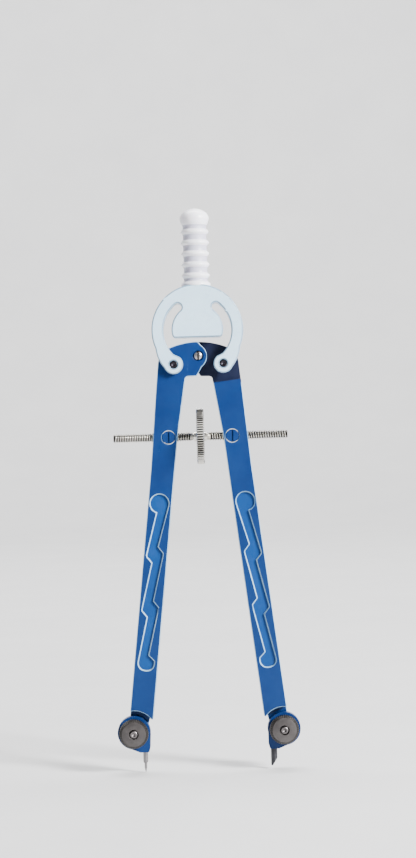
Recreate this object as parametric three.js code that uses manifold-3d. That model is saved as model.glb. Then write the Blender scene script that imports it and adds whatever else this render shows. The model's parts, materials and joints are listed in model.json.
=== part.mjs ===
// A drawing compass of the centre-wheel kind: two flat legs hinged at a centre screw and pinned
// to the spring arms of a round yoke with a ribbed grip. A double-threaded spindle with a thumb
// wheel spreads the legs, and each leg ends in a knee-jointed foot with a knurled clamp nut, the
// left one for a needle and the right one for a lead.
//
// Millimetres, +Z up along the compass's own axis. The front faces -Y and +X is to the right.
// The origin is on the paper, midway between the two points.
import * as THREE from 'three';
import { mergeVertices } from 'three/addons/utils/BufferGeometryUtils.js';
import Module from 'manifold-3d';

const wasm = await Module();
wasm.setup();

// ---- driving dimensions ----

const PIVOT_Z = 128.6; // height of the centre screw above the paper
const REST_ANGLE = THREE.MathUtils.degToRad(6.6); // each leg's slope from the upright
const GAP = 0.3; // between pieces that lie against each other
const FIT = 0.15; // radial clearance round a pin, screw or rod

// Depths, front to back. The legs are centred on y = 0.
const LEG_T = 5.0;
const FACE = LEG_T / 2;
const CHEEK_T = 1.5; // each cheek of the yoke's forked arms
const YOKE_Y = FACE + GAP + CHEEK_T;

// Yoke, about its own centre.
const RING_Z = PIVOT_Z + 7.95;
const RING_R = 14.16;
const SLOT_OUT_R = 10.56;
const SLOT_IN_R = 7.95;
const SLOT_END = THREE.MathUtils.degToRad(39.6); // from the upright to each end of the C-slot
const TONGUE_DROP = 2.27; // from the yoke's centre down to the tongue's lower edge
const TONGUE_CORNER_R = 1.1;
const FORK_TOP = -3.9; // the arms are solid above this level and forked below it
const EYE_R = 3.0;
const EYE_HOLE_R = 1.25;
const EYE_AT = [7.7, -10.5];
const STEM_R = 2.2;
const STEM_TOP_Z = 169.0;

// Grip
const GRIP_TOP_Z = 174.4;
const CAP_R = 4.55;
const CAP_Z = 171.1; // the cap is widest here
const GRIP_R = 4.35;
const GRIP_GROOVE_R = 3.8;
const GRIP_RIBS = 5;
const RIB_PITCH = 3.4;
const RIB_HALF = 0.65;
const LOW_RIB_Z = 153.5;
const COLLAR_R = 4.6;
const COLLAR_TOP_Z = 151.5;

// Leg, in its own frame: u runs outwards from the centre screw and v runs up along the leg.
const INNER_U = 4.2;
const OUTER_U = 11.5;
const LAP_V = -8.8; // the head is half as thick above this level
const LAP_GAP = 0.3;
const NOSE_R = 4.1;
const NOSE_AT = [1.37, -0.31];
const ARCH_R = 23.3;
const ARCH_AT = [-2.17, -18.78];
const PIN_AT = [7.36, -3.42];
const TRUNNION_AT = [6.96, -25.97];
const KNUCKLE_AT = [9.73, -118.0];
const SHOULDER_R = 6.8; // hollow end of the leg round its foot
const LEG_END = 4.6; // the leg's full thickness ends this far above its knuckle
const EAR_R = 4.4;
const EAR_FRONT_Y = 0.9; // the ear behind the foot is this far back
const RECESS_DEPTH = 0.7;

// Recess on each face: a round head and a channel that steps back towards the centre three times.
const HEAD_AT = [8.0, -46.6];
const HEAD_R = 2.95;
const STEP_V = -60.0;
const STEP_PITCH = 16.85;
const STEPS = 3;
const STEP_DROP = 1.9;
const CHANNEL_IN = [5.45, 7.3];
const CHANNEL_OUT = [8.75, 10.65];
const OUT_LAG = 3.2; // each outer step lies this much lower than the inner one

// Fasteners and moving pieces
const PIN_R = 1.1;
const SCREW_R = 0.8;
const SCREW_HEAD_R = 1.3;
const WASHER_R = 2.3;
const PIVOT_PLAY = 0.95; // the right head shifts this much on the screw as the legs swing
const TRUNNION_R = 2.0;
const SPINDLE_R = 1.45;
const SPINDLE_L = 54.0;
const WHEEL_R = 8.6;
const WHEEL_W = 2.4;
const OPEN_LIMIT = THREE.MathUtils.degToRad(35);
const CLOSE_LIMIT = THREE.MathUtils.degToRad(8.2);

// Foot, about the clamp screw's axis. Negative x is towards the compass's axis on the right foot.
const BOSS_R = 5.1;
const FOOT_REAR_Y = EAR_FRONT_Y - GAP;
const POINT_U = -3.3; // the needle's and the lead's axis
const POINT_Y = -0.95;
const CLAMP_SCREW_R = 1.2;
const NUT_R = 4.6;
const NUT_FACE_R = 3.7;
const NUT_FRONT_Y = -6.2;
const LEAD_R = 1.0;
const LEAD_L = 10.9;
const LEAD_TIP_Z = 1.1; // the needle is set a little longer than the lead
const NEEDLE_R = 0.75;
const NEEDLE_L = 12.0;

const ROUND = 48; // sides on a full circle of middling size

// ---- materials ----

function paint(color, roughness, metalness) {
  return new THREE.MeshStandardMaterial({ color, roughness, metalness });
}

const WHITE = paint(0xe9ecef, 0.35, 0.0);
const PALE_BLUE = paint(0xc6dbe8, 0.3, 0.0);
const BLUE = paint(0x1f55a0, 0.4, 0.5);
const NICKEL = paint(0xcfcabb, 0.25, 1.0);
const STEEL = paint(0xb8bbc0, 0.3, 1.0);
const NUT_GREY = paint(0x8d8a88, 0.45, 1.0);
const DARK = paint(0x3b3f4c, 0.5, 0.8);
const GRAPHITE = paint(0x26262a, 0.6, 0.1);

// ---- solids ----

// A closed geometry as a manifold solid.
function solidOf(geometry) {
  geometry.deleteAttribute('normal');
  geometry.deleteAttribute('uv');
  const merged = mergeVertices(geometry, 1e-4);
  const vertProperties = new Float32Array(merged.attributes.position.array);
  const triVerts = new Uint32Array(merged.index.array);
  return new wasm.Manifold(new wasm.Mesh({ numProp: 3, vertProperties, triVerts }));
}

// A manifold solid as a geometry.
function geometryOf(solid) {
  const { vertProperties, triVerts } = solid.getMesh();
  const geometry = new THREE.BufferGeometry();
  geometry.setAttribute('position', new THREE.BufferAttribute(vertProperties, 3));
  geometry.setIndex(new THREE.BufferAttribute(triVerts, 1));
  return geometry;
}

// An outline drawn in x and z, as thick as from y0 back to y1.
function plate(points, y0, y1, holes = []) {
  const shape = new THREE.Shape(points.map(([x, z]) => new THREE.Vector2(x, z)));
  shape.holes = holes.map((hole) => new THREE.Path(hole.map(([x, z]) => new THREE.Vector2(x, z))));
  const geometry = new THREE.ExtrudeGeometry(shape, { depth: y1 - y0, bevelEnabled: false });
  geometry.rotateX(Math.PI / 2);
  geometry.translate(0, y1, 0);
  return solidOf(geometry);
}

// A round bar along Y.
function barY(radius, y0, y1, [x, z] = [0, 0], sides = ROUND) {
  const geometry = new THREE.CylinderGeometry(radius, radius, y1 - y0, sides);
  geometry.translate(x, (y0 + y1) / 2, z);
  return solidOf(geometry);
}

// A round bar along Z.
function barZ(radius, z0, z1, [x, y] = [0, 0], sides = ROUND) {
  const geometry = new THREE.CylinderGeometry(radius, radius, z1 - z0, sides);
  geometry.rotateX(Math.PI / 2);
  geometry.translate(x, y, (z0 + z1) / 2);
  return solidOf(geometry);
}

// A round bar along X.
function barX(radius, x0, x1, z, sides = ROUND) {
  const geometry = new THREE.CylinderGeometry(radius, radius, x1 - x0, sides);
  geometry.rotateZ(Math.PI / 2);
  geometry.translate((x0 + x1) / 2, 0, z);
  return solidOf(geometry);
}

function block([x0, x1], [y0, y1], [z0, z1]) {
  const geometry = new THREE.BoxGeometry(x1 - x0, y1 - y0, z1 - z0);
  geometry.translate((x0 + x1) / 2, (y0 + y1) / 2, (z0 + z1) / 2);
  return solidOf(geometry);
}

// A turned piece. The profile's points are [radius, distance along the axis], bottom to top.
function turned(profile, sides = ROUND) {
  return new THREE.LatheGeometry(profile.map(([r, a]) => new THREE.Vector2(r, a)), sides);
}

function turnedZ(profile, sides) {
  const geometry = turned(profile, sides);
  geometry.rotateX(Math.PI / 2);
  return solidOf(geometry);
}

function turnedX(profile, sides) {
  const geometry = turned(profile, sides);
  geometry.rotateZ(-Math.PI / 2);
  return solidOf(geometry);
}

function turnedY(profile, sides) {
  return solidOf(turned(profile, sides));
}

// Points along an arc, from one angle to another in degrees.
function arc([x, z], radius, from, to, count) {
  const points = [];
  for (let i = 0; i <= count; i += 1) {
    const angle = THREE.MathUtils.degToRad(from + ((to - from) * i) / count);
    points.push([x + radius * Math.cos(angle), z + radius * Math.sin(angle)]);
  }
  return points;
}

// A closed outline with its corners rounded: each corner is [x, z, radius], and 0 keeps it sharp.
function rounded(corners) {
  const points = [];
  corners.forEach(([x, z, radius = 0], i) => {
    if (radius === 0) {
      points.push([x, z]);
      return;
    }
    const corner = new THREE.Vector2(x, z);
    const before = new THREE.Vector2(...corners.at(i - 1).slice(0, 2)).sub(corner).normalize();
    const after = new THREE.Vector2(...corners[(i + 1) % corners.length].slice(0, 2)).sub(corner).normalize();
    const half = Math.acos(THREE.MathUtils.clamp(before.dot(after), -1, 1)) / 2;
    const reach = radius / Math.tan(half);
    const start = corner.clone().addScaledVector(before, reach);
    const end = corner.clone().addScaledVector(after, reach);
    const middle = before.clone().add(after).normalize().multiplyScalar(radius / Math.sin(half)).add(corner);
    const from = start.sub(middle);
    const turn = Math.atan2(from.cross(end.clone().sub(middle)), from.dot(end.clone().sub(middle)));
    const count = Math.max(2, Math.ceil(Math.abs(turn) / THREE.MathUtils.degToRad(15)));
    for (let k = 0; k <= count; k += 1) {
      const spoke = from.clone().rotateAround(new THREE.Vector2(), (turn * k) / count);
      points.push([middle.x + spoke.x, middle.y + spoke.y]);
    }
  });
  return points;
}

const mirrored = (points, side) => points.map(([x, ...rest]) => [side * x, ...rest]);

// ---- the grip and the yoke ----

// The yoke's arm on one side, from the slot's end down to the eye, about the yoke's centre.
function armOutline(side) {
  const eyeAngle = THREE.MathUtils.radToDeg(Math.atan2(EYE_AT[1], EYE_AT[0]));
  const tangent = eyeAngle + THREE.MathUtils.radToDeg(Math.acos((RING_R - EYE_R) / Math.hypot(...EYE_AT)));
  const outer = arc([0, 0], RING_R, 60, tangent, 24);
  const eye = arc(EYE_AT, EYE_R, tangent, tangent - 208, 22);
  const bulge = new THREE.QuadraticBezierCurve(
    new THREE.Vector2(...outer.at(-1)),
    new THREE.Vector2(12.75, -8.9),
    new THREE.Vector2(...eye[0]),
  );
  const edge = bulge.getPoints(8).slice(1, -1).map((p) => [p.x, p.y]);
  const inner = arc([0, 0], SLOT_OUT_R, -44, 60, 28);
  return mirrored([...outer, ...edge, ...eye, ...inner], side);
}

function yoke() {
  const tongueCorner = Math.sqrt(SLOT_IN_R ** 2 - TONGUE_DROP ** 2);
  const cornerAngle = THREE.MathUtils.radToDeg(Math.asin(TONGUE_DROP / SLOT_IN_R));
  const tongue = rounded([
    ...arc([0, 0], SLOT_IN_R, -cornerAngle + 12, 192 + cornerAngle - 24, 48),
    [-tongueCorner, -TONGUE_DROP, TONGUE_CORNER_R],
    [tongueCorner, -TONGUE_DROP, TONGUE_CORNER_R],
  ]);
  const endDeg = THREE.MathUtils.radToDeg(SLOT_END);
  const crown = [
    ...arc([0, 0], RING_R, 90 - 62, 90 + 62, 40),
    ...arc([0, 0], SLOT_IN_R - 1, 90 + 62, 90 - 62, 20),
  ];
  let body = plate(crown, -YOKE_Y, YOKE_Y);
  body = body.add(plate(tongue, -YOKE_Y, YOKE_Y));
  for (const side of [1, -1]) {
    const slot = [
      ...arc([0, 0], SLOT_OUT_R, 90 - 75, 90 - endDeg, 12),
      ...arc(
        polar((SLOT_OUT_R + SLOT_IN_R) / 2, 90 - endDeg),
        (SLOT_OUT_R - SLOT_IN_R) / 2,
        90 - endDeg,
        270 - endDeg,
        12,
      ).slice(1, -1),
      ...arc([0, 0], SLOT_IN_R, 90 - endDeg, 90 - 75, 12),
    ];
    body = body.subtract(plate(mirrored(slot, side), -YOKE_Y - 1, YOKE_Y + 1));
    body = body.add(plate(armOutline(side), -YOKE_Y, YOKE_Y));
    const eye = mirrored([EYE_AT], side)[0];
    body = body.subtract(barY(EYE_HOLE_R, -YOKE_Y - 1, YOKE_Y + 1, eye, 32));
  }
  body = body.subtract(block([-20, 20], [-FACE - GAP, FACE + GAP], [-20, FORK_TOP]));
  body = body.translate(0, 0, RING_Z);
  return body.add(barZ(STEM_R, RING_Z + RING_R - 2, STEM_TOP_Z, [0, 0], 32));
}

// A point at this radius and angle in degrees.
function polar(radius, degrees) {
  const angle = THREE.MathUtils.degToRad(degrees);
  return [radius * Math.cos(angle), radius * Math.sin(angle)];
}

function grip() {
  const profile = [
    [0, RING_Z + RING_R - 3],
    [COLLAR_R, RING_Z + RING_R - 3],
    [COLLAR_R, COLLAR_TOP_Z - 0.5],
    [GRIP_GROOVE_R, COLLAR_TOP_Z + 0.3],
  ];
  for (let i = 0; i < GRIP_RIBS; i += 1) {
    const z = LOW_RIB_Z + i * RIB_PITCH;
    profile.push([GRIP_GROOVE_R, z - RIB_HALF - 0.3], [GRIP_R, z - RIB_HALF + 0.2]);
    profile.push([GRIP_R, z + RIB_HALF - 0.2], [GRIP_GROOVE_R, z + RIB_HALF + 0.3]);
  }
  profile.push([GRIP_GROOVE_R, CAP_Z - 2.1], [CAP_R - 0.3, CAP_Z - 1.2]);
  for (const [r, z] of arc([0, 0], 1, 0, 90, 8)) {
    profile.push([CAP_R * r, CAP_Z + (GRIP_TOP_Z - CAP_Z) * z]);
  }
  profile.at(-1)[0] = 0;
  const bore = barZ(STEM_R + FIT, RING_Z, STEM_TOP_Z + GAP, [0, 0], 32);
  const seat = barY(RING_R + GAP, -10, 10, [0, RING_Z], 96);
  return turnedZ(profile, 32).subtract(bore).subtract(seat);
}

// ---- the legs ----

// The leg's outline in its own frame, its head first.
function legOutline() {
  const nose = arc(NOSE_AT, NOSE_R, 228, 118, 14);
  const arch = arc(ARCH_AT, ARCH_R, 83.5, 60.5, 10);
  return rounded([
    ...nose,
    ...arch,
    [12.2, -0.4, 5.2],
    [12.1, -10],
    [OUTER_U, -36],
    [OUTER_U, KNUCKLE_AT[1] + LEG_END],
    [INNER_U, KNUCKLE_AT[1] + LEG_END, 0.3],
    [INNER_U, -25],
    [3.35, -6.75, 1.0],
    [-0.1, -6.25, 0.3],
    [-0.55, -5.35, 0.3],
  ]);
}

// The stepped recess, down its outer side and back up its inner side.
function recessOutline() {
  const outer = [];
  const inner = [];
  for (let i = 0; i < STEPS; i += 1) {
    const v = STEP_V - i * STEP_PITCH;
    inner.unshift([CHANNEL_IN[0], v - STEP_DROP, 0.9], [CHANNEL_IN[1], v, 0.25]);
    outer.push([CHANNEL_OUT[1], v - OUT_LAG, 0.9], [CHANNEL_OUT[0], v - OUT_LAG - STEP_DROP, 0.25]);
  }
  const end = STEP_V - (STEPS - 1) * STEP_PITCH;
  outer.splice(-2, 2, [CHANNEL_OUT[1], end - 4.8, 2.3]);
  const inside = CHANNEL_IN[0] - 0.1;
  inner.splice(0, 1, [inside, end - 4.8, 2.2], [inside, end - STEP_DROP + 0.3, 0.7]);
  return rounded([...arc(HEAD_AT, HEAD_R, 184, -78, 22), ...outer, ...inner]);
}

// The room that the spindle sweeps inside the leg, from the closed compass to the open one.
function spindleSweep() {
  const half = SPINDLE_R + GAP;
  const reach = 12;
  const [u, v] = TRUNNION_AT;
  const flat = THREE.MathUtils.radToDeg(CLOSE_LIMIT - REST_ANGLE);
  const steep = -THREE.MathUtils.radToDeg(OPEN_LIMIT + REST_ANGLE);
  const at = (radius, degrees) => polar(radius, degrees);
  const fan = (from, to) => {
    const [a, b] = [at(half, from + 90), at(reach, from)];
    const [c, d] = [at(reach, to), at(half, to - 90)];
    return [a, [a[0] + b[0], a[1] + b[1]], [c[0] + d[0], c[1] + d[1]], d].map(([x, z]) => [u + x, v + z]);
  };
  return plate(fan(flat, steep), -half, half).add(plate(fan(180 + flat, 180 + steep), -half, half));
}

// The thin ear behind the foot, which carries the clamp screw.
function ear() {
  const [u, v] = KNUCKLE_AT;
  const web = [
    [INNER_U + 0.4, v + 9],
    [OUTER_U - 0.05, v + 9],
    [OUTER_U - 0.05, v + 3.5],
    [u, v],
    [u - EAR_R + 0.3, v + 1.5],
  ];
  const disc = barY(EAR_R, EAR_FRONT_Y, FACE, KNUCKLE_AT);
  return plate(web, EAR_FRONT_Y, FACE).add(disc);
}

// A leg in its own frame. The left leg laps in front of the right one at the head.
function leg(side) {
  const cut = [
    block([-20, 20], side < 0 ? [-LAP_GAP / 2, 9] : [-9, LAP_GAP / 2], [LAP_V, 20]),
    barY(SCREW_R + (side < 0 ? FIT : PIVOT_PLAY), -9, 9, [0, 0], 24),
    barY(PIN_R + 0.05, -9, 9, PIN_AT, 24),
    barY(TRUNNION_R + FIT, -9, 9, TRUNNION_AT, 32),
    spindleSweep(),
    plate(recessOutline(), -9, -FACE + RECESS_DEPTH),
    plate(recessOutline(), FACE - RECESS_DEPTH, 9),
  ];
  if (side < 0) {
    cut.push(barY(SCREW_HEAD_R + GAP, -9, -FACE + 0.6, [0, 0], 32));
  } else {
    cut.push(barY(WASHER_R + PIVOT_PLAY, FACE - 0.6, 9, [0, 0], 32));
  }
  let body = plate(legOutline(), -FACE, FACE);
  body = body.subtract(barY(SHOULDER_R, -9, 9, KNUCKLE_AT, 64)).add(ear());
  body = body.subtract(barY(CLAMP_SCREW_R + FIT, -9, 9, KNUCKLE_AT, 32));
  body = cut.reduce((rest, tool) => rest.subtract(tool), body);
  return side < 0 ? body.mirror([1, 0, 0]) : body;
}

// Where a point of the leg's own frame lies on the compass.
function onLeg(side, [u, v]) {
  const x = u * Math.cos(REST_ANGLE) - v * Math.sin(REST_ANGLE);
  const z = u * Math.sin(REST_ANGLE) + v * Math.cos(REST_ANGLE);
  return [side * x, PIVOT_Z + z];
}

// ---- centre screw, pins, trunnions, spindle and wheel ----

function centreScrew() {
  const head = [[0, -3.05], [0.8, -2.98], [1.15, -2.8], [SCREW_HEAD_R, -2.55], [SCREW_HEAD_R, -2.2]];
  const profile = [...head, [SCREW_R, -2.2], [SCREW_R, 3.5], [SCREW_R - 0.25, 3.75], [0, 3.75]];
  const slot = block([-0.25, 0.25], [-4, -2.55], [-3, 3]);
  return turnedY(profile, 32).subtract(slot);
}

// The washer lies in a shallow seat behind the right leg's head, and the nut stands on it.
function pivotWasher() {
  return barY(WASHER_R, 2.2, 2.55).subtract(barY(SCREW_R + FIT, 0, 9, [0, 0], 24));
}

function centreNut() {
  const body = barY(2.2, 2.85, 3.6, [0, 0], 6);
  return body.subtract(barY(SCREW_R + FIT, 0, 9, [0, 0], 24));
}

function yokePin() {
  const end = YOKE_Y - 0.35;
  return turnedY([[0, -end], [PIN_R - 0.2, -end], [PIN_R, -end + 0.2], [PIN_R, end - 0.2],
    [PIN_R - 0.2, end], [0, end]], 24);
}

function trunnion() {
  const slot = block([-0.25, 0.25], [-9, -FACE + 0.4], [-3, 3]);
  const body = barY(TRUNNION_R, -FACE, FACE, [0, 0], 32);
  return body.subtract(barX(SPINDLE_R + FIT, -3, 3, 0, 24)).subtract(slot);
}

function spindle() {
  const [end, seat, relief] = [SPINDLE_L / 2, 1.9, 2.7];
  const half = [[SPINDLE_R - 0.35, end], [SPINDLE_R, end - 0.4], [SPINDLE_R, relief + 0.3],
    [SPINDLE_R - 0.3, relief], [SPINDLE_R - 0.3, seat], [SPINDLE_R + 0.15, seat]];
  const other = half.map(([r, x]) => [r, -x]);
  return turnedX([[0, -end], ...other, ...half.reverse(), [0, end]], 32);
}

function thumbWheel() {
  const rim = WHEEL_W / 2;
  const [web, hubR, rimR, bore] = [0.7, 3.1, 6.9, SPINDLE_R + 0.15 + FIT];
  const half = [[bore, rim], [hubR, rim], [hubR, web], [rimR, web], [rimR + 0.3, rim], [WHEEL_R - 0.3, rim],
    [WHEEL_R, rim - 0.3]];
  const other = half.map(([r, x]) => [r, -x]);
  return turnedX([...other, ...half.reverse(), other[0]], 72);
}

// ---- the feet ----

// A foot about its clamp screw's axis: a round boss and a nose that holds the needle or the lead
// between jaws parted by a saw cut.
function foot(side, boreR) {
  const nose = rounded([
    [-4.95, 0.4],
    [-4.95, -4.5, 0.8],
    [-4.5, -6.1, 0.5],
    [-1.7, -6.1, 0.6],
    [1.2, -4.9],
    [0, 0],
  ]);
  const body = barY(BOSS_R, -FACE, FOOT_REAR_Y)
    .add(plate(nose, -FACE, FOOT_REAR_Y))
    .subtract(barY(CLAMP_SCREW_R + FIT, -9, 9, [0, 0], 32))
    .subtract(barZ(boreR, -9, 9, [POINT_U, POINT_Y], 24))
    .subtract(block([-9, POINT_U], [POINT_Y - 0.2, POINT_Y + 0.2], [-9, 9]));
  return side < 0 ? body.mirror([1, 0, 0]) : body;
}

// Its head is at the back, against the leg's ear.
function clampScrew() {
  const rear = FACE + 0.2;
  const profile = [[0, NUT_FRONT_Y - 0.1], [CLAMP_SCREW_R - 0.3, NUT_FRONT_Y - 0.1],
    [CLAMP_SCREW_R, NUT_FRONT_Y + 0.2], [CLAMP_SCREW_R, rear], [2.7, rear], [2.7, rear + 0.8],
    [2.3, rear + 1.2], [0, rear + 1.2]];
  return turnedY(profile, 32).subtract(block([-3, 3], [rear + 0.7, 9], [-0.3, 0.3]));
}

function clampWasher() {
  return barY(3.3, -3.05, -2.65).subtract(barY(CLAMP_SCREW_R + FIT, -9, 9, [0, 0], 32));
}

function clampNut() {
  const bore = CLAMP_SCREW_R + FIT;
  return turnedY([[bore, NUT_FRONT_Y], [NUT_FACE_R, NUT_FRONT_Y], [NUT_R - 0.15, -5.3], [NUT_R, -5.1],
    [NUT_R, -3.7], [NUT_R - 0.4, -3.2], [bore, -3.2], [bore, NUT_FRONT_Y]], 60);
}

function needle() {
  return turnedZ([[0, 0], [0.4, 1.5], [0.42, 2.9], [NEEDLE_R - 0.1, 3.1], [NEEDLE_R, 3.4],
    [NEEDLE_R, NEEDLE_L - 0.2], [NEEDLE_R - 0.2, NEEDLE_L], [0, NEEDLE_L]], 24);
}

// The lead is ground to a chisel: upright on its inner side and slanted on its outer side.
function lead() {
  const slant = plate([[-0.6, -0.1], [4, -0.1], [4, 7.0]], -3, 3);
  return barZ(LEAD_R, 0, LEAD_L, [0, 0], 24).subtract(slant);
}

// ---- the assembly ----

const compass = new THREE.Group();

function place(name, solid, material, [x, y, z] = [0, 0, 0], turn = 0) {
  const mesh = new THREE.Mesh(geometryOf(solid), material.clone());
  mesh.name = name;
  mesh.position.set(x, y, z);
  mesh.rotation.y = turn;
  compass.add(mesh);
}

place('grip', grip(), WHITE);
place('yoke', yoke(), PALE_BLUE);
place('centre_screw', centreScrew(), STEEL, [0, 0, PIVOT_Z]);
place('pivot_washer', pivotWasher(), STEEL, [0, 0, PIVOT_Z]);
place('centre_nut', centreNut(), STEEL, [0, 0, PIVOT_Z]);
for (const [hand, side] of [['left', -1], ['right', 1]]) {
  const on = ([u, v]) => {
    const [x, z] = onLeg(side, [u, v]);
    return [x, 0, z];
  };
  place(`${hand}_leg`, leg(side), BLUE, [0, 0, PIVOT_Z], -side * REST_ANGLE);
  place(`${hand}_yoke_pin`, yokePin(), DARK, on(PIN_AT));
  place(`${hand}_trunnion`, trunnion(), BLUE, on(TRUNNION_AT));
  place(`${hand}_foot`, foot(side, (side < 0 ? NEEDLE_R : LEAD_R) + FIT), BLUE, on(KNUCKLE_AT));
  place(`${hand}_clamp_screw`, clampScrew(), STEEL, on(KNUCKLE_AT));
  place(`${hand}_clamp_washer`, clampWasher(), STEEL, on(KNUCKLE_AT));
  place(`${hand}_clamp_nut`, clampNut(), NUT_GREY, on(KNUCKLE_AT));
}
const spindleZ = onLeg(1, TRUNNION_AT)[1];
place('spindle', spindle(), NICKEL, [0, 0, spindleZ]);
place('thumb_wheel', thumbWheel(), NICKEL, [0, 0, spindleZ]);
const pointX = onLeg(1, KNUCKLE_AT)[0] + POINT_U;
place('needle', needle(), STEEL, [-pointX, POINT_Y, 0]);
place('lead', lead(), GRAPHITE, [pointX, POINT_Y, LEAD_TIP_Z]);

export default compass;
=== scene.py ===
import json
import math

import bmesh
import bpy
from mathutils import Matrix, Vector


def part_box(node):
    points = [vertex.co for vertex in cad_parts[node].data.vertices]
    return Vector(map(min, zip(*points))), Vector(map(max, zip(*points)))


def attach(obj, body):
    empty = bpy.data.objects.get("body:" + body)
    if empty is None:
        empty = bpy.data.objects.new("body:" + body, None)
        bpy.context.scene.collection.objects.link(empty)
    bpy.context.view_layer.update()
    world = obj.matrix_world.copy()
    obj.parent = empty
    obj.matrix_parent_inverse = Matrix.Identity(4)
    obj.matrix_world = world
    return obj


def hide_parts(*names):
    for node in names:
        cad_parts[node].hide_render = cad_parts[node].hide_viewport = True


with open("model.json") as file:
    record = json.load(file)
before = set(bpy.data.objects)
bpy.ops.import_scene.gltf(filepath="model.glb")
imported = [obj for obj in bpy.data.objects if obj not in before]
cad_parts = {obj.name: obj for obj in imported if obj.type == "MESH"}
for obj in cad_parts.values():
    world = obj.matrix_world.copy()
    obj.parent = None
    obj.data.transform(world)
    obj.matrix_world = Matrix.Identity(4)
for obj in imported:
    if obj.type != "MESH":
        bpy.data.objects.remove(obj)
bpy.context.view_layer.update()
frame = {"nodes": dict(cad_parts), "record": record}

MM = 0.001
ANCHORS = {node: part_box(node) for node in frame["nodes"]}
BODIES = {node: body for body, nodes in frame["record"]["behaviour"]["bodies"].items() for node in nodes}
SLOTS = {s["node"]: s["material_slot"] for s in frame["record"]["subparts"]}
HANDS = ("left", "right")


def middle(node):
    low, high = ANCHORS[node]
    return (low + high) / 2


def front_and_back(node):
    """How far forwards and back a node reaches along Y, in millimetres."""
    low, high = ANCHORS[node]
    return low.y / MM, high.y / MM


def off_axis(at, spot):
    """How far a place is from the front-to-back axis through spot, in millimetres."""
    return math.hypot(at.x - spot.x, at.z - spot.z) / MM


# ---- materials ----


class Nodes:
    """A material's node tree, with short ways to add what every finish here needs."""

    def __init__(self, name):
        self.material = bpy.data.materials.new(name)
        self.material.use_nodes = True
        self.tree = self.material.node_tree
        self.shader = self.tree.nodes["Principled BSDF"]
        place = self.add("ShaderNodeTexCoord")
        self.place = place.outputs["Object"]

    def add(self, kind, **values):
        node = self.tree.nodes.new(kind)
        for key, value in values.items():
            setattr(node, key, value)
        return node

    def link(self, source, target):
        self.tree.links.new(source, target)

    def stretched(self, scale):
        mapping = self.add("ShaderNodeMapping")
        mapping.inputs["Scale"].default_value = scale
        self.link(self.place, mapping.inputs["Vector"])
        return mapping.outputs["Vector"]

    def noise(self, scale, detail=4.0, rough=0.6, vector=None, warp=0.0):
        node = self.add("ShaderNodeTexNoise")
        node.inputs["Scale"].default_value = scale
        node.inputs["Detail"].default_value = detail
        node.inputs["Roughness"].default_value = rough
        node.inputs["Distortion"].default_value = warp
        self.link(vector or self.place, node.inputs["Vector"])
        return node.outputs["Fac"]

    def ramp(self, source, low, high, to_low, to_high):
        node = self.add("ShaderNodeMapRange")
        for key, value in zip(("From Min", "From Max", "To Min", "To Max"), (low, high, to_low, to_high)):
            node.inputs[key].default_value = value
        self.link(source, node.inputs["Value"])
        return node.outputs["Result"]

    def mix(self, amount, a, b):
        """A blend of two colours. A mix node has its colours at inputs 6 and 7 and at output 2."""
        node = self.add("ShaderNodeMix", data_type="RGBA")
        self.link(amount, node.inputs["Factor"])
        for value, socket in ((a, node.inputs[6]), (b, node.inputs[7])):
            if hasattr(value, "default_value"):
                self.link(value, socket)
            else:
                socket.default_value = (*value, 1)
        return node.outputs[2]

    def bump(self, source, depth, strength=1.0, under=None):
        node = self.add("ShaderNodeBump")
        node.inputs["Distance"].default_value = depth
        node.inputs["Strength"].default_value = strength
        self.link(source, node.inputs["Height"])
        if under:
            self.link(under, node.inputs["Normal"])
        return node.outputs["Normal"]

    def set(self, name, value):
        socket = self.shader.inputs[name]
        if hasattr(value, "default_value"):
            self.link(value, socket)
        else:
            socket.default_value = value


def paint(name, colour, dark, rough, worn):
    """Stoved paint on metal: faint orange peel, dust in patches and a few rubbed scuffs."""
    m = Nodes(name)
    patches = m.ramp(m.noise(90, 5), 0.35, 0.7, 0.0, 1.0)
    base = m.mix(patches, dark, colour)
    scuffs = m.ramp(m.noise(420, 8, 0.7, m.stretched((1, 1, 0.22)), 0.4), 0.68, 0.76, 0.0, 0.55)
    m.set("Base Color", m.mix(scuffs, base, worn))
    m.set("Roughness", m.ramp(m.noise(260, 6), 0.3, 0.7, rough - 0.07, rough + 0.1))
    m.set("Specular IOR Level", 0.16)
    m.set("Coat Weight", 0.06)
    m.set("Coat Roughness", 0.2)
    peel = m.bump(m.noise(1400, 2), 0.00004, 0.5)
    m.set("Normal", m.bump(scuffs, 0.00002, 0.6, peel))
    return m.material


def plastic(name, colour, dark, rough, sheen=0.25):
    """Moulded plastic: soft handling marks, a little grime and a fine grain."""
    m = Nodes(name)
    grime = m.ramp(m.noise(120, 6, 0.65), 0.42, 0.78, 0.0, 0.75)
    m.set("Base Color", m.mix(grime, colour, dark))
    m.set("Roughness", m.ramp(m.noise(330, 5), 0.3, 0.7, rough - 0.08, rough + 0.12))
    m.set("Subsurface Weight", 0.06)
    m.set("Subsurface Scale", 0.002)
    m.set("Coat Weight", sheen)
    m.set("Coat Roughness", 0.15)
    grain = m.bump(m.noise(2600, 3), 0.00003, 0.35)
    m.set("Normal", m.bump(m.noise(60, 3), 0.0001, 0.25, grain))
    return m.material


def metal(name, colour, dark, rough, along=(1, 1, 1), tarnish=0.6):
    """Bare or plated metal: drawn or turned lines, tarnish in patches and fine scratches."""
    m = Nodes(name)
    stain = m.ramp(m.noise(240, 6, 0.65), 0.4, 0.75, 0.0, tarnish)
    m.set("Base Color", m.mix(stain, colour, dark))
    m.set("Metallic", 1.0)
    lines = m.noise(2200, 4, 0.6, m.stretched(along))
    m.set("Roughness", m.ramp(lines, 0.3, 0.7, rough - 0.06, rough + 0.14))
    m.set("Normal", m.bump(lines, 0.00002, 0.45))
    return m.material


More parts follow.
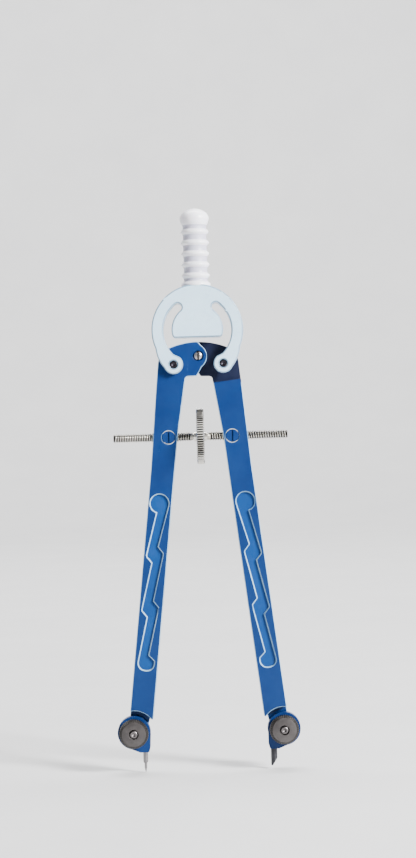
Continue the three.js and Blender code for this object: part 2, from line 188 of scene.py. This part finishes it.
FINISH = {
    "grip": plastic("grip_white", (0.86, 0.86, 0.90), (0.68, 0.67, 0.78), 0.33),
    "yoke": plastic("yoke_pale_blue", (0.50, 0.70, 0.84), (0.42, 0.61, 0.77), 0.30, 0.3),
    "leg_paint": paint("leg_blue", (0.002, 0.026, 0.115), (0.001, 0.018, 0.090), 0.42, (0.03, 0.10, 0.26)),
    "nickel": metal("nickel", (0.70, 0.68, 0.63), (0.42, 0.39, 0.34), 0.20, (0.1, 1, 1), 0.5),
    "steel": metal("steel", (0.44, 0.41, 0.41), (0.22, 0.20, 0.21), 0.28, (1, 0.1, 1)),
    "nut": metal("nut_grey", (0.105, 0.097, 0.095), (0.06, 0.055, 0.055), 0.42, (1, 0.15, 1), 0.8),
    "pin": metal("pin_dark", (0.035, 0.032, 0.04), (0.012, 0.012, 0.018), 0.36, (1, 0.2, 1)),
    "lead": metal("graphite", (0.055, 0.055, 0.062), (0.02, 0.02, 0.022), 0.48, (1, 1, 0.08)),
}
# painted highlight: this light blue on the legs' eased edges is part worn paint and part painted highlight
EDGE_WEAR_AND_HIGHLIGHT = paint("edge_blue_wear_and_highlight", (0.36, 0.54, 0.68), (0.13, 0.29, 0.50), 0.34, (0.55, 0.66, 0.74))
RECESS = paint("recess_blue", (0.003, 0.046, 0.185), (0.002, 0.036, 0.155), 0.45, (0.04, 0.13, 0.32))
# painted shade: a dark navy standing for the shade on the lap faces of the legs' heads
LAP_SHADE = paint("lap_navy_painted_shade", (0.006, 0.010, 0.034), (0.004, 0.007, 0.024), 0.5, (0.02, 0.03, 0.08))
# painted shade: near black in slots, thread roots and knurl valleys
GROOVE_SHADE = metal("groove_painted_shade", (0.030, 0.028, 0.026), (0.012, 0.011, 0.010), 0.5, (1, 1, 1), 0.8)
# painted highlight: a dimmer light blue round the barrel pins' bores
RING_HIGHLIGHT = paint("ring_blue_painted_highlight", (0.055, 0.13, 0.26), (0.03, 0.08, 0.18), 0.4, (0.12, 0.22, 0.36))
# painted shade: a darker blue on the yoke's eased edges, standing for their shade
YOKE_EDGE_SHADE = plastic("yoke_edge_painted_shade", (0.20, 0.32, 0.44), (0.13, 0.22, 0.32), 0.34, 0.2)
# painted shade: a darker lilac between the grip's ribs
GRIP_GROOVE_SHADE = plastic("grip_groove_painted_shade", (0.50, 0.50, 0.60), (0.38, 0.37, 0.48), 0.4, 0.1)
# painted shade: a darker grey on the clamp nuts' knurled rims
RIM_SHADE = metal("rim_grey_painted_shade", (0.055, 0.05, 0.048), (0.03, 0.027, 0.026), 0.45, (1, 1, 1), 0.8)
DULL = metal("dull_steel", (0.17, 0.155, 0.155), (0.08, 0.075, 0.075), 0.34, (1, 0.2, 1))
POINT = metal("point_steel", (0.24, 0.23, 0.235), (0.10, 0.095, 0.10), 0.26, (1, 1, 0.1))


# ---- shapes ----


def stand_in(name, mesh, node, finish=None):
    """A detailed piece that takes a CAD node's place and moves with its body."""
    mesh.materials.clear()
    mesh.materials.append(finish or FINISH[SLOTS[node]])
    piece = bpy.data.objects.new(name, mesh)
    bpy.context.scene.collection.objects.link(piece)
    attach(piece, BODIES[node])
    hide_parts(node)
    return piece


def smooth(mesh, degrees=32):
    mesh.shade_smooth()
    mesh.set_sharp_from_angle(angle=math.radians(degrees))


def cad_mesh(node, join):
    """A CAD node's shape, with its flat facets made one and corners closer than join millimetres merged."""
    flat = math.radians(0.6)
    mesh = frame["nodes"][node].data.copy()
    mesh.name = f"{node}_fine"
    work = bmesh.new()
    work.from_mesh(mesh)
    bmesh.ops.dissolve_limit(work, angle_limit=flat, verts=work.verts, edges=work.edges)
    bmesh.ops.remove_doubles(work, verts=work.verts, dist=join * MM)
    bmesh.ops.dissolve_limit(work, angle_limit=flat, verts=work.verts, edges=work.edges)
    work.to_mesh(mesh)
    work.free()
    return mesh


def coat(piece, finish, test):
    """Another finish on the faces whose middle and normal pass the test. Returns its place in the slots."""
    piece.data.materials.append(finish)
    index = len(piece.data.materials) - 1
    for face in piece.data.polygons:
        if test(face.center, face.normal):
            face.material_index = index
    return index


BODY_FINISH, EDGE_FINISH = 0, 1


def eased(name, node, width, segments=3, edge=None, join=0.001):
    """A CAD node with its edges eased, as casting and tumbling leave them, by a width in millimetres.

    edge is another finish for the eased edges. Their width is then kept even where edges are short.
    """
    piece = stand_in(name, cad_mesh(node, join), node)
    bevel = piece.modifiers.new("edges", "BEVEL")
    bevel.width = width * MM
    bevel.segments = segments
    bevel.limit_method = "ANGLE"
    bevel.angle_limit = math.radians(28)
    bevel.use_clamp_overlap = edge is None
    bevel.miter_outer = "MITER_ARC"
    if edge:
        piece.data.materials.append(edge)
        bevel.material = EDGE_FINISH
    normals = piece.modifiers.new("normals", "WEIGHTED_NORMAL")
    normals.keep_sharp = True
    smooth(piece.data, 40)
    return piece


def softened(profile, radius, steps=3):
    """A profile with its corners rounded. Its points are (distance from the axis, distance along it)."""
    points = [Vector(p[:2]) for p in profile]
    out = [tuple(points[0])]
    for before, here, after in zip(points, points[1:], points[2:]):
        a, b = before - here, after - here
        reach = min(radius, a.length * 0.45, b.length * 0.45)
        start, end = here + a.normalized() * reach, here + b.normalized() * reach
        for i in range(steps + 1):
            t = i / steps
            out.append(tuple(start * (1 - t) ** 2 + here * 2 * t * (1 - t) + end * t ** 2))
    out.append(tuple(points[-1]))
    return out


def turned(name, profile, axis, origin, sides, closed=False, knurl=None):
    """A turned mesh about an axis through origin, from a profile in millimetres.

    knurl(radius, along, turn) returns the radius at that turn, from 0 to 1 round the axis.
    """
    work = bmesh.new()
    rings = []
    for radius, along in profile:
        ring = []
        for i in range(1 if radius < 1e-6 else sides):
            turn = i / sides
            r = knurl(radius, along, turn) if knurl else radius
            c, s = r * math.cos(turn * math.tau), r * math.sin(turn * math.tau)
            spot = {"x": (along, c, s), "y": (s, along, c), "z": (c, s, along)}[axis]
            ring.append(work.verts.new(origin + Vector(spot) * MM))
        rings.append(ring)
    for a, b in zip(rings, rings[1:] + rings[:1] if closed else rings[1:]):
        for i in range(sides):
            j = (i + 1) % sides
            corners = [a[i % len(a)], a[j % len(a)], b[j % len(b)], b[i % len(b)]]
            work.faces.new(list(dict.fromkeys(corners)))
    bmesh.ops.recalc_face_normals(work, faces=work.faces)
    mesh = bpy.data.meshes.new(name)
    work.to_mesh(mesh)
    work.free()
    return mesh


def knurled(teeth, depth, start, run_out):
    """A knurl of straight teeth, which reach that depth by run_out beyond the radius where they start."""
    def shape(radius, along, turn):
        if radius < start:
            return radius
        valley = abs(2 * ((turn * teeth) % 1) - 1)
        return radius - depth * valley * min(1, (radius - start) / run_out)
    return shape


def in_valley(turn, teeth):
    """Whether a turn round the axis, from 0 to 1, is in the valley between two of a knurl's teeth."""
    return abs((turn * teeth) % 1 - 0.5) > 0.25


def settle(piece):
    """Make a piece's modifiers part of its mesh."""
    bpy.context.view_layer.update()
    made = bpy.data.meshes.new_from_object(piece.evaluated_get(bpy.context.evaluated_depsgraph_get()))
    piece.modifiers.clear()
    piece.data = made


def cut(piece, mesh):
    """piece with that mesh taken out of it."""
    tool = bpy.data.objects.new("tool", mesh)
    bpy.context.scene.collection.objects.link(tool)
    change = piece.modifiers.new("cut", "BOOLEAN")
    change.operation = "DIFFERENCE"
    change.solver = "EXACT"
    change.object = tool
    settle(piece)
    bpy.data.objects.remove(tool)


def block(centre, size):
    """A box about centre, with its size in millimetres."""
    work = bmesh.new()
    bmesh.ops.create_cube(work, size=1)
    for v in work.verts:
        v.co = centre + Vector(v.co[i] * size[i] * MM for i in range(3))
    mesh = bpy.data.meshes.new("block")
    work.to_mesh(mesh)
    work.free()
    return mesh


# ---- grip and yoke ----

NECK_R, RIB_R, CAP_R = 3.64, 4.33, 4.55
RIBS, RIB_PITCH = 5, 3.4
LOWEST_RIB, CAP_FOOT, DOME = 20.9, 5.5, 3.3  # how far below the grip's top
DOME_STEPS = 12


def grip():
    """The sleeve: a flared foot, ribs and a domed cap. Its profile's depths are taken from the top down."""
    top = ANCHORS["grip"][1].z / MM
    profile = [(0, 23.4), (2.4, 23.45), (4.5, 24.15), (4.58, 23.65), (4.5, 23.3), (3.66, 22.6)]
    for i in range(RIBS):
        rib = LOWEST_RIB - RIB_PITCH * i
        profile += [(NECK_R, rib + 0.9), (RIB_R, rib + 0.3), (RIB_R, rib - 0.3), (NECK_R, rib - 0.9)]
    profile += [(NECK_R, CAP_FOOT), (4.25, CAP_FOOT - 1)]
    for i in range(DOME_STEPS):
        angle = math.pi / 2 * i / DOME_STEPS
        profile.append((CAP_R * math.cos(angle), DOME - DOME * math.sin(angle)))
    profile.append((0, 0))
    mesh = turned("grip_fine", softened([(r, top - down) for r, down in profile], 0.35), "z", Vector(), 72)
    smooth(mesh, 60)
    piece = stand_in("grip_sleeve", mesh, "grip")

    def between_ribs(at, normal):
        return 2.5 < math.hypot(at.x, at.y) / MM < NECK_R + 0.14 and at.z / MM < top - CAP_FOOT + 1.1
    # painted shade between the ribs
    coat(piece, GRIP_GROOVE_SHADE, between_ribs)


grip()
# painted shade on the yoke's eased edges
eased("yoke_ring", "yoke", 0.4, 4, edge=YOKE_EDGE_SHADE, join=0.06)

# ---- centre pivot ----

leg_front = front_and_back("left_leg")[0]
piece = eased("pivot_screw", "centre_screw", 0.08, 2)
# painted shade in the screw head's slot
coat(piece, GROOVE_SHADE, lambda at, normal: abs(at.x) < 0.27 * MM and at.y < leg_front * MM)
eased("pivot_nut", "centre_nut", 0.12, 2)
eased("pivot_washer_ring", "pivot_washer", 0.07, 2)

# ---- legs ----

RECESS_FLOOR, LAP_STEP = 1.8, 0.15  # depths either side of the leg's mid-plane
RECESS_TOP = 90  # a height above the floor
LAP_SHADE_REACH, BORE_REACH = 16, 2.6  # distances from a hole's axis


def at_depth(depth, below=math.inf):
    """A test for faces that look forwards or back from this far either side of the leg's mid-plane."""
    def test(at, normal):
        faces_out = abs(normal.y) > 0.99
        return faces_out and abs(abs(at.y) - depth * MM) < 0.05 * MM and at.z < below * MM
    return test


def leg(hand):
    """A leg with bright edges, part worn paint and part painted highlight, except at the centre screw and
    where its lap has painted shade.
    """
    # painted highlight: the eased edges get the light blue of worn paint and painted highlight
    piece = eased(f"{hand}_leg_arm", f"{hand}_leg", 0.16, 3, edge=EDGE_WEAR_AND_HIGHLIGHT)
    coat(piece, RECESS, at_depth(RECESS_FLOOR, RECESS_TOP))
    # painted shade: the lap faces get a dark navy
    lap_shade_finish = coat(piece, LAP_SHADE, at_depth(LAP_STEP))
    settle(piece)
    screw, trunnion = middle("centre_screw"), middle(f"{hand}_trunnion")
    # painted highlight: a dimmer light blue on the walls and eased edges round the barrel pin's bore
    coat(piece, RING_HIGHLIGHT, lambda at, normal: abs(normal.y) < 0.99 and off_axis(at, trunnion) < BORE_REACH)
    # Edges near the centre screw get the body's paint; edges on the shaded lap get the lap's painted shade.
    for face in piece.data.polygons:
        if face.material_index != EDGE_FINISH:
            continue
        reach = off_axis(face.center, screw)
        if reach < BORE_REACH:
            face.material_index = BODY_FINISH
        elif reach < LAP_SHADE_REACH and (hand == "right" or face.center.y > 0):
            face.material_index = lap_shade_finish


def yoke_pin(hand):
    """A pin with a dimple in each end."""
    node = f"{hand}_yoke_pin"
    spot = middle(node)
    reach = (ANCHORS[node][1] - spot) / MM
    r, half = reach.x, reach.y
    end = [(0, 0.25), (0.35, 0.2), (0.55, 0), (r, 0)]
    profile = [(x, depth - half) for x, depth in end] + [(x, half - depth) for x, depth in reversed(end)]
    mesh = turned(f"{hand}_pin_fine", softened(profile, 0.15), "y", spot, 40)
    smooth(mesh)
    stand_in(f"{hand}_rivet", mesh, node)


for hand in HANDS:
    leg(hand)
    yoke_pin(hand)
    eased(f"{hand}_barrel_pin", f"{hand}_trunnion", 0.12, 2)

# ---- spindle and wheel ----

PITCH, CREST_R, ROOT_R = 0.75, 1.45, 1.0
PLAIN, THREAD_START = 2.75, 2.9  # distances from the rod's middle
STEPS_PER_PITCH = 8


def spindle():
    """The rod: threads that lean opposite ways on its halves, chamfered ends and a plain middle."""
    centre = middle("spindle")
    end = (ANCHORS["spindle"][1].x - centre.x) / MM

    def thread(radius, along, turn):
        reach = abs(along)
        if reach < PLAIN or radius < ROOT_R:
            return radius
        wave = (along / PITCH - turn) % 1 if along > 0 else (along / PITCH + turn) % 1
        height = 1 - abs(2 * wave - 1)
        height = min(1, max(0, height * 1.35 - 0.12))
        r = ROOT_R + (CREST_R - ROOT_R) * height
        return min(r, ROOT_R + 0.05 + (end - reach) * 0.9)

    profile = [(0, -end), (ROOT_R, -end)]
    length = end - THREAD_START
    steps = round(length / (PITCH / STEPS_PER_PITCH))
    for i in range(1, steps):
        profile.append((CREST_R, -end + length * i / steps))
    profile += [(1.15, -2.7), (1.15, -1.95), (1.55, -1.9), (1.58, 0)]
    profile += [(r, -along) for r, along in reversed(profile[:-1])]
    mesh = turned("spindle_fine", profile, "x", centre, 24, knurl=thread)
    smooth(mesh, 50)
    piece = stand_in("threaded_spindle", mesh, "spindle")

    def in_thread(at, normal):
        return math.hypot(at.y, at.z - centre.z) < 1.2 * MM and abs(at.x) > THREAD_START * MM
    # painted shade in the thread's roots
    coat(piece, GROOVE_SHADE, in_thread)


WHEEL_TEETH = 70


def wheel():
    """The thumb wheel: a hub, a thin web and a knurled rim, from half a section and its mirror image."""
    centre = middle("thumb_wheel")
    hub = [(1.75, 1.15), (1.9, 1.2), (2.95, 1.2), (3.1, 1.1), (3.12, 0.8)]
    web = [(3.3, 0.71), (6.6, 0.71), (6.85, 0.77)]
    rim = [(7.1, 1.15), (7.3, 1.2), (8.1, 1.2), (8.3, 1.15), (8.56, 0.92), (8.6, 0.8)]
    half = hub + web + rim
    profile = [(r, -along) for r, along in half] + [(r, along) for r, along in reversed(half)]
    knurl = knurled(WHEEL_TEETH, depth=0.3, start=7.9, run_out=0.3)
    mesh = turned("wheel_fine", profile, "x", centre, WHEEL_TEETH * 4, closed=True, knurl=knurl)
    smooth(mesh, 24)
    piece = stand_in("knurled_thumb_wheel", mesh, "thumb_wheel")

    def in_knurl(at, normal):
        turn = math.atan2(at.z - centre.z, at.y) / math.tau
        on_rim = math.hypot(at.y, at.z - centre.z) > 8.1 * MM and abs(at.x) < 0.93 * MM
        return on_rim and in_valley(turn, WHEEL_TEETH)
    # painted shade in the knurl's valleys
    coat(piece, GROOVE_SHADE, in_knurl)


spindle()
wheel()

# ---- feet ----

NUT_TEETH, NUT_RIM = 45, 3.75

# ends of profiles: (radius, distance in from the end of the node)
NUT_FRONT = [(1.4, 0.2), (1.55, 0), (3.55, 0), (3.72, 0.05), (4.42, 0.8), (4.58, 1.05), (4.6, 1.3)]
NUT_BACK = [(4.6, 0.6), (4.5, 0.3), (4.2, 0.02), (4.0, 0), (1.6, 0), (1.4, 0.05)]
BOLT_FRONT = [(0, 0.4), (0.3, 0.35), (0.55, 0.05), (0.9, 0), (1.2, 0.25)]
BOLT_BACK = [(1.2, 1.2), (2.7, 1.2), (2.7, 0.4), (2.3, 0), (0, 0)]
WASHER_END = [(1.37, 0), (3.25, 0), (3.3, 0.05)]

SLOT_W, SLOT_DEPTH, SPARE = 0.6, 0.5, 0.1


def from_ends(node, front_end, back_end):
    """A profile along Y that fills a node's length, from its front end and its back end."""
    front, back = front_and_back(node)
    profile = [(r, front + inwards) for r, inwards in front_end]
    return profile + [(r, back - inwards) for r, inwards in back_end]


def clamp_nut(hand, spot):
    """A nut with a sloped shoulder and a knurled rim."""
    node = f"{hand}_clamp_nut"
    profile = from_ends(node, NUT_FRONT, NUT_BACK)
    knurl = knurled(NUT_TEETH, depth=0.22, start=3.8, run_out=0.25)
    mesh = turned(f"{hand}_nut_fine", profile, "y", spot, NUT_TEETH * 4, closed=True, knurl=knurl)
    smooth(mesh, 24)
    piece = stand_in(f"{hand}_knurled_nut", mesh, node)

    def in_knurl(at, normal):
        turn = math.atan2(at.x - spot.x, at.z - spot.z) / math.tau
        return off_axis(at, spot) > NUT_RIM and in_valley(turn, NUT_TEETH)
    # painted shade on the knurled rim
    coat(piece, RIM_SHADE, lambda at, normal: off_axis(at, spot) > NUT_RIM)
    # painted shade in the knurl's valleys
    coat(piece, GROOVE_SHADE, in_knurl)


def clamp_screw(hand, spot):
    """A screw with a dimple in its front end and a slot across its head, which is at the back."""
    node = f"{hand}_clamp_screw"
    profile = softened(from_ends(node, BOLT_FRONT, BOLT_BACK), 0.12)
    mesh = turned(f"{hand}_bolt_fine", profile, "y", spot, 48)
    piece = stand_in(f"{hand}_clamp_bolt", mesh, node, DULL)
    back = front_and_back(node)[1]
    size = (6.5, 2 * (SLOT_DEPTH + SPARE), SLOT_W)
    cut(piece, block(spot + Vector((0, back + SPARE, 0)) * MM, size))

    def in_slot(at, normal):
        return at.y > (back - SLOT_DEPTH - SPARE) * MM and abs(at.z - spot.z) < (SLOT_W / 2 + 0.01) * MM
    # painted shade in the slot
    coat(piece, GROOVE_SHADE, in_slot)
    smooth(piece.data)


def clamp_washer(hand, spot):
    """A flat ring with its outer corners eased."""
    node = f"{hand}_clamp_washer"
    profile = from_ends(node, WASHER_END, reversed(WASHER_END))
    mesh = turned(f"{hand}_washer_fine", profile, "y", spot, 64, closed=True)
    smooth(mesh)
    stand_in(f"{hand}_clamp_ring", mesh, node)


for hand in HANDS:
    eased(f"{hand}_foot_block", f"{hand}_foot", 0.3)
    spot = middle(f"{hand}_clamp_nut")
    spot.y = 0
    clamp_nut(hand, spot)
    clamp_screw(hand, spot)
    clamp_washer(hand, spot)


def needle():
    """A shouldered point, from its tip up."""
    spot = middle("needle")
    spot.z = ANCHORS["needle"][0].z
    point = [(0, 0), (0.06, 0.12), (0.4, 1.6), (0.42, 2.9)]
    shank = [(0.66, 3.1), (0.75, 3.4), (0.75, 11.8), (0.55, 12.0), (0, 12.0)]
    mesh = turned("needle_fine", softened(point + shank, 0.08), "z", spot, 40)
    smooth(mesh)
    stand_in("needle_point", mesh, "needle", POINT)


needle()
eased("lead_stick", "lead", 0.08, 2)

# ---- stage ----

# the floor's flat part, bend and wall are in millimetres, and the lamps and the camera in metres
FLAT_R, BEND_R, WALL_TOP = 1400, 800, 3600
FLAT_STEPS, FLAT_STEP, BEND_STEPS = 10, 150, 12


def bowl():
    """A pale floor that rises all round into the backdrop."""
    profile = [(0, 0)] + [(FLAT_R - FLAT_STEP * i, 0) for i in reversed(range(FLAT_STEPS))]
    for i in range(1, BEND_STEPS + 1):
        angle = math.pi / 2 * i / BEND_STEPS
        profile.append((FLAT_R + BEND_R * math.sin(angle), BEND_R - BEND_R * math.cos(angle)))
    profile.append((FLAT_R + BEND_R, WALL_TOP))
    mesh = turned("floor", profile, "z", Vector((0, 0, ANCHORS["needle"][0].z)), 96)
    mesh.shade_smooth()
    m = Nodes("studio_floor")
    patches = m.ramp(m.noise(14, 3), 0.3, 0.7, 0.0, 1.0)
    m.set("Base Color", m.mix(patches, (0.55, 0.55, 0.555), (0.58, 0.58, 0.58)))
    m.set("Roughness", m.ramp(m.noise(40, 4), 0.3, 0.7, 0.6, 0.75))
    mesh.materials.append(m.material)
    floor = bpy.data.objects.new("floor", mesh)
    bpy.context.scene.collection.objects.link(floor)


bowl()


def lamp(name, where, aim, size, watts, colour=(1, 1, 1)):
    light = bpy.data.lights.new(name, "AREA")
    light.shape = "RECTANGLE"
    light.size, light.size_y = size
    light.energy = watts
    light.color = colour
    obj = bpy.data.objects.new(name, light)
    obj.location = where
    obj.rotation_euler = (Vector(aim) - Vector(where)).to_track_quat("-Z", "Y").to_euler()
    bpy.context.scene.collection.objects.link(obj)


aim = (0, 0, 0.09)
lamp("key", (0.66, -0.48, 0.50), aim, (0.25, 0.25), 36)
lamp("fill", (-0.75, -0.55, 0.30), aim, (0.7, 0.7), 0.3, (0.85, 0.88, 1.0))
lamp("top", (0.1, 0.15, 0.95), aim, (0.6, 0.4), 2.0)
lamp("backdrop", (0.0, 0.46, 1.65), (0, 2.0, 0.28), (1.65, 0.92), 100)

world = bpy.data.worlds.new("studio")
bpy.context.scene.world = world
world.use_nodes = True
background = world.node_tree.nodes["Background"]
background.inputs["Color"].default_value = (0.93, 0.95, 1.0, 1)
background.inputs["Strength"].default_value = 0.09

# ---- camera ----

LEAN = math.radians(1.7)
DISTANCE = 0.62
PICTURE_X, PICTURE_Z, PICTURE_HEIGHT = 0.0024, 0.10585, 0.2665
SENSOR = 36
camera_data = bpy.data.cameras.new("camera")
camera = bpy.data.objects.new("camera", camera_data)
bpy.context.scene.collection.objects.link(camera)
bpy.context.scene.camera = camera
camera_data.sensor_width = SENSOR
camera_data.sensor_fit = "AUTO"
camera_data.lens = SENSOR * DISTANCE / PICTURE_HEIGHT
camera.location = (PICTURE_X, -DISTANCE, PICTURE_Z)
camera.rotation_euler = (math.pi / 2, LEAN, 0)
camera_data.clip_start = 0.01
